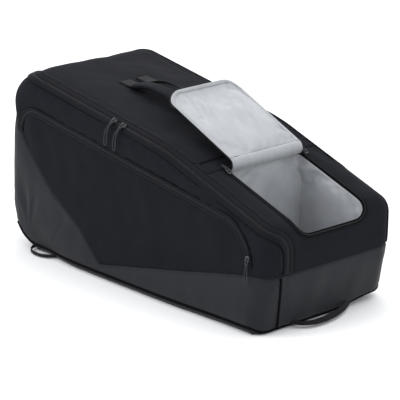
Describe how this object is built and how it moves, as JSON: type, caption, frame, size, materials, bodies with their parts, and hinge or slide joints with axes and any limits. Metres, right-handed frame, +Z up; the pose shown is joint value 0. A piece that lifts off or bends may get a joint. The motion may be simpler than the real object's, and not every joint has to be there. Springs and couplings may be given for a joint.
{
  "type": "racket bag",
  "caption": "Long padded racket bag with side racket compartments, zipped side pockets, a shoe compartment under a flap, top carry handles and stowed straps.",
  "frame": {"origin": "on the floor under the middle of the whole bag's length and width", "axes": "+X towards the low handle end with the shoe compartment, -Y the front side, +Z up"},
  "size_m": [0.804, 0.404, 0.4072],
  "materials": {
    "canvas": "black woven polyester with a fine plain weave",
    "coated": "dark grey coated fabric, smooth with a soft sheen",
    "lining": "silver-grey satin lining",
    "webbing": "black nylon webbing",
    "zip_tape": "black zip tape and coil",
    "metal": "black painted zip slider",
    "foam": "padded strap with air-mesh face",
    "buckle": "black moulded plastic",
    "board": "semi-rigid base board"
  },
  "bodies": {
    "root": {"base_panel": "coated", "front_skirt": "coated", "rear_skirt": "coated", "head_end_skirt": "coated", "head_end_panel": "canvas", "handle_end_skirt": "coated", "handle_end_panel": "canvas", "top_panel": "canvas", "front_shoe_rim": "canvas", "rear_shoe_rim": "canvas", "front_frame_zip_tape": "zip_tape", "rear_frame_zip_tape": "zip_tape", "shoe_zip_tape": "zip_tape", "shoe_liner": "lining", "centre_divider": "canvas", "base_board": "board", "carry_handle_patches": "webbing", "front_shoulder_strap": "foam", "rear_shoulder_strap": "foam", "front_strap_webbing": "webbing", "rear_strap_webbing": "webbing", "front_strap_buckle": "buckle", "rear_strap_buckle": "buckle"},
    "front_cover": {"front_cover": "canvas", "front_cover_zip_tape": "zip_tape", "front_pocket_panel": "canvas", "front_pocket_zip_tape": "zip_tape"},
    "rear_cover": {"rear_cover": "canvas", "rear_cover_zip_tape": "zip_tape", "rear_pocket_panel": "canvas", "rear_pocket_zip_tape": "zip_tape"},
    "front_zip_slider_head": {"front_zip_slider_head": "metal"},
    "front_zip_pull_head": {"front_zip_pull_head": "webbing"},
    "front_zip_slider_handle": {"front_zip_slider_handle": "metal"},
    "front_zip_pull_handle": {"front_zip_pull_handle": "webbing"},
    "front_pocket_slider": {"front_pocket_slider": "metal"},
    "front_pocket_pull": {"front_pocket_pull": "webbing"},
    "front_shoe_slider": {"front_shoe_slider": "metal"},
    "front_shoe_pull": {"front_shoe_pull": "webbing"},
    "front_carry_handle": {"front_carry_handle": "webbing", "carry_handle_wrap": "webbing"},
    "front_edge_loop": {"front_edge_loop": "webbing"},
    "rear_zip_slider_head": {"rear_zip_slider_head": "metal"},
    "rear_zip_pull_head": {"rear_zip_pull_head": "webbing"},
    "rear_zip_slider_handle": {"rear_zip_slider_handle": "metal"},
    "rear_zip_pull_handle": {"rear_zip_pull_handle": "webbing"},
    "rear_pocket_slider": {"rear_pocket_slider": "metal"},
    "rear_pocket_pull": {"rear_pocket_pull": "webbing"},
    "rear_shoe_slider": {"rear_shoe_slider": "metal"},
    "rear_shoe_pull": {"rear_shoe_pull": "webbing"},
    "rear_carry_handle": {"rear_carry_handle": "webbing"},
    "rear_edge_loop": {"rear_edge_loop": "webbing"},
    "shoe_flap": {"shoe_flap_panel": "canvas", "shoe_flap_lining": "lining", "shoe_flap_zip_tape": "zip_tape"},
    "end_grab_handle": {"end_grab_handle": "webbing"}
  },
  "joints": [
    {"name": "front_cover_open", "type": "hinge", "parent": "root", "child": "front_cover", "pos_m": [0, -0.183, 0.1158], "axis": [1, 0, 0], "range_deg": [0, 50]},
    {"name": "front_zip_slider_head_slide", "type": "slide", "parent": "front_cover", "child": "front_zip_slider_head", "axis": [0.9866, 0, -0.1634], "range_m": [-0.21, 0]},
    {"name": "front_zip_pull_head_swing", "type": "hinge", "parent": "front_zip_slider_head", "child": "front_zip_pull_head", "pos_m": [-0.067, -0.17198, 0.34777], "axis": [-1, 0, 0], "range_deg": [0, 110]},
    {"name": "front_zip_slider_handle_slide", "type": "slide", "parent": "front_cover", "child": "front_zip_slider_handle", "axis": [0.9866, 0, -0.1634], "range_m": [0, 0.09]},
    {"name": "front_zip_pull_handle_swing", "type": "hinge", "parent": "front_zip_slider_handle", "child": "front_zip_pull_handle", "pos_m": [-0.04, -0.17198, 0.3433], "axis": [-1, 0, 0], "range_deg": [0, 110]},
    {"name": "front_pocket_slider_slide", "type": "slide", "parent": "front_cover", "child": "front_pocket_slider", "axis": [0, 0, 1], "range_m": [0, 0.02]},
    {"name": "front_pocket_pull_swing", "type": "hinge", "parent": "front_pocket_slider", "child": "front_pocket_pull", "pos_m": [0.345, -0.1906, 0.158], "axis": [-1, 0, 0], "range_deg": [0, 120]},
    {"name": "front_shoe_slider_slide", "type": "slide", "parent": "root", "child": "front_shoe_slider", "axis": [0.9482, 0, -0.3176], "range_m": [0, 0.15]},
    {"name": "front_shoe_pull_swing", "type": "hinge", "parent": "front_shoe_slider", "child": "front_shoe_pull", "pos_m": [0.20841, -0.1085, 0.29084], "axis": [0, 1, 0], "range_deg": [0, 150]},
    {"name": "front_carry_handle_lean", "type": "hinge", "parent": "root", "child": "front_carry_handle", "pos_m": [-0.06569, -0.024, 0.3579], "axis": [0.9866, 0, -0.1634], "range_deg": [-25, 40]},
    {"name": "front_edge_loop_lift", "type": "hinge", "parent": "root", "child": "front_edge_loop", "pos_m": [-0.282, -0.174, 0.0055], "axis": [-1, 0, 0], "range_deg": [0, 35]},
    {"name": "rear_cover_open", "type": "hinge", "parent": "root", "child": "rear_cover", "pos_m": [0, 0.183, 0.1158], "axis": [-1, 0, 0], "range_deg": [0, 50]},
    {"name": "rear_zip_slider_head_slide", "type": "slide", "parent": "rear_cover", "child": "rear_zip_slider_head", "axis": [0.9866, 0, -0.1634], "range_m": [-0.21, 0]},
    {"name": "rear_zip_pull_head_swing", "type": "hinge", "parent": "rear_zip_slider_head", "child": "rear_zip_pull_head", "pos_m": [-0.067, 0.17198, 0.34777], "axis": [1, 0, 0], "range_deg": [0, 110]},
    {"name": "rear_zip_slider_handle_slide", "type": "slide", "parent": "rear_cover", "child": "rear_zip_slider_handle", "axis": [0.9866, 0, -0.1634], "range_m": [0, 0.09]},
    {"name": "rear_zip_pull_handle_swing", "type": "hinge", "parent": "rear_zip_slider_handle", "child": "rear_zip_pull_handle", "pos_m": [-0.04, 0.17198, 0.3433], "axis": [1, 0, 0], "range_deg": [0, 110]},
    {"name": "rear_pocket_slider_slide", "type": "slide", "parent": "rear_cover", "child": "rear_pocket_slider", "axis": [0, 0, 1], "range_m": [0, 0.02]},
    {"name": "rear_pocket_pull_swing", "type": "hinge", "parent": "rear_pocket_slider", "child": "rear_pocket_pull", "pos_m": [0.345, 0.1906, 0.158], "axis": [1, 0, 0], "range_deg": [0, 120]},
    {"name": "rear_shoe_slider_slide", "type": "slide", "parent": "root", "child": "rear_shoe_slider", "axis": [0.9482, 0, -0.3176], "range_m": [0, 0.15]},
    {"name": "rear_shoe_pull_swing", "type": "hinge", "parent": "rear_shoe_slider", "child": "rear_shoe_pull", "pos_m": [0.20841, 0.1085, 0.29084], "axis": [0, 1, 0], "range_deg": [0, 150]},
    {"name": "rear_carry_handle_lean", "type": "hinge", "parent": "root", "child": "rear_carry_handle", "pos_m": [-0.06569, 0.024, 0.3579], "axis": [0.9866, 0, -0.1634], "range_deg": [-40, 25]},
    {"name": "rear_edge_loop_lift", "type": "hinge", "parent": "root", "child": "rear_edge_loop", "pos_m": [-0.282, 0.174, 0.0055], "axis": [1, 0, 0], "range_deg": [0, 35]},
    {"name": "shoe_flap_close", "type": "hinge", "parent": "root", "child": "shoe_flap", "pos_m": [0.19434, 0, 0.29862], "axis": [0, 1, 0], "range_deg": [0, 175]},
    {"name": "end_grab_handle_lift", "type": "hinge", "parent": "root", "child": "end_grab_handle", "pos_m": [0.376, 0, 0.0235], "axis": [0, -1, 0], "range_deg": [0, 70]}
  ]
}
